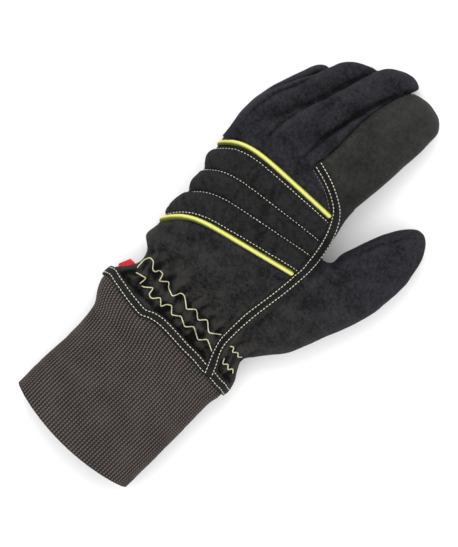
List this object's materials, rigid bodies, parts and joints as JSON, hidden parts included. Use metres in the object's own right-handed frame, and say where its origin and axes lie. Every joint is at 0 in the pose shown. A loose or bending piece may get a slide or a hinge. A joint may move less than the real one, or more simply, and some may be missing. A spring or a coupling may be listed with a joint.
{
  "type": "firefighter glove",
  "caption": "Left-hand firefighter's glove with a ribbed wristlet, a quilted knuckle pad with lime piping, leather palm and index finger and a gathered wrist.",
  "frame": {"origin": "on the flat of the palm, under the knuckles' lower seam, at the height that it rests on", "axes": "+Y from the wrist to the fingertips, +X to the thumb side, +Z out of the back of the hand"},
  "size_m": [0.1622, 0.3452, 0.0484],
  "materials": {
    "knit": "ribbed knit",
    "back_cloth": "matt weave",
    "pad_cloth": "matt quilted",
    "leather": "matt grained",
    "trim_leather": "matt",
    "piping": "satin",
    "tab": "woven"
  },
  "bodies": {
    "root": {"knit_cuff": "knit", "wrist_binding": "trim_leather", "lower_back": "back_cloth", "knuckle_pad": "pad_cloth", "finger_back": "back_cloth", "index_finger": "leather", "thumb_back": "back_cloth", "thumb_front": "leather", "palm": "leather", "side_strip": "trim_leather", "piping_lower": "piping", "piping_upper": "piping", "red_tab": "tab"}
  },
  "joints": []
}
